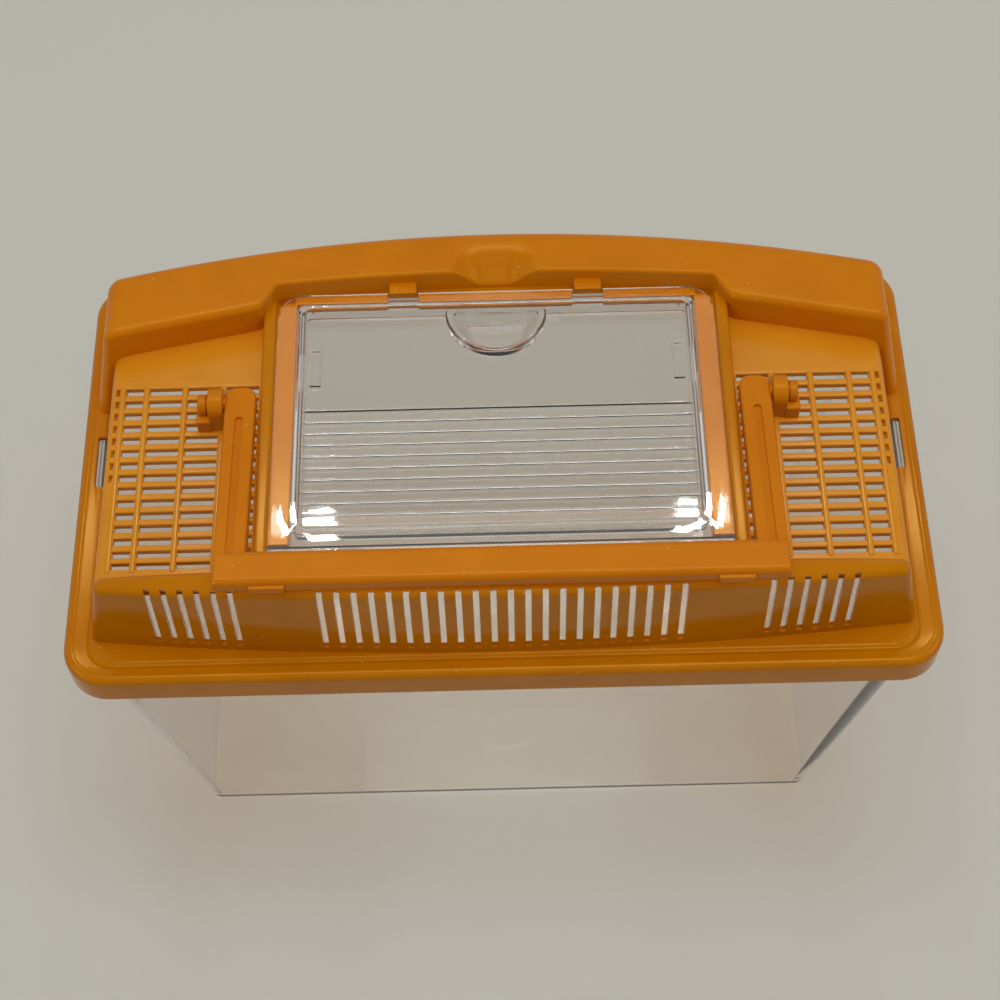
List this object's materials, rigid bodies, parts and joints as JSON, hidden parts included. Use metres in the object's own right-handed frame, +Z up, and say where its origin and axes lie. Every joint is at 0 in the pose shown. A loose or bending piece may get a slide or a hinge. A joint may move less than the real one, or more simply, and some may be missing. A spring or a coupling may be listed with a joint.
{
  "type": "small animal keeper",
  "caption": "Clear tapered plastic tank with a push-on vented lid, a clear hinged feeding hatch and a folding carry handle.",
  "frame": {"origin": "middle of the tank's underside, on the surface that it stands on", "axes": "+X to the right along the tank's length, +Y to the back, +Z up"},
  "size_m": [0.2448, 0.137, 0.1549],
  "materials": {
    "clear_tank": "clear moulded polystyrene, glossy",
    "orange_lid": "slightly translucent orange moulding, satin to glossy",
    "clear_hatch": "clear moulded polystyrene, glossy",
    "orange_handle": "orange moulding, satin"
  },
  "bodies": {
    "tank": {"tank": "clear_tank"},
    "lid": {"lid": "orange_lid"},
    "hatch": {"feeding_hatch": "clear_hatch"},
    "handle": {"carry_handle": "orange_handle"}
  },
  "joints": [
    {"name": "lid_lift", "type": "slide", "parent": "tank", "child": "lid", "axis": [0, 0, 1], "range_m": [0, 0.06]},
    {"name": "hatch_hinge", "type": "hinge", "parent": "lid", "child": "hatch", "pos_m": [0, -0.0435, 0.1453], "axis": [1, 0, 0], "range_deg": [0, 95]},
    {"name": "handle_swing", "type": "hinge", "parent": "lid", "child": "handle", "pos_m": [0, 0.004, 0.1475], "axis": [-1, 0, 0], "range_deg": [0, 155]}
  ]
}
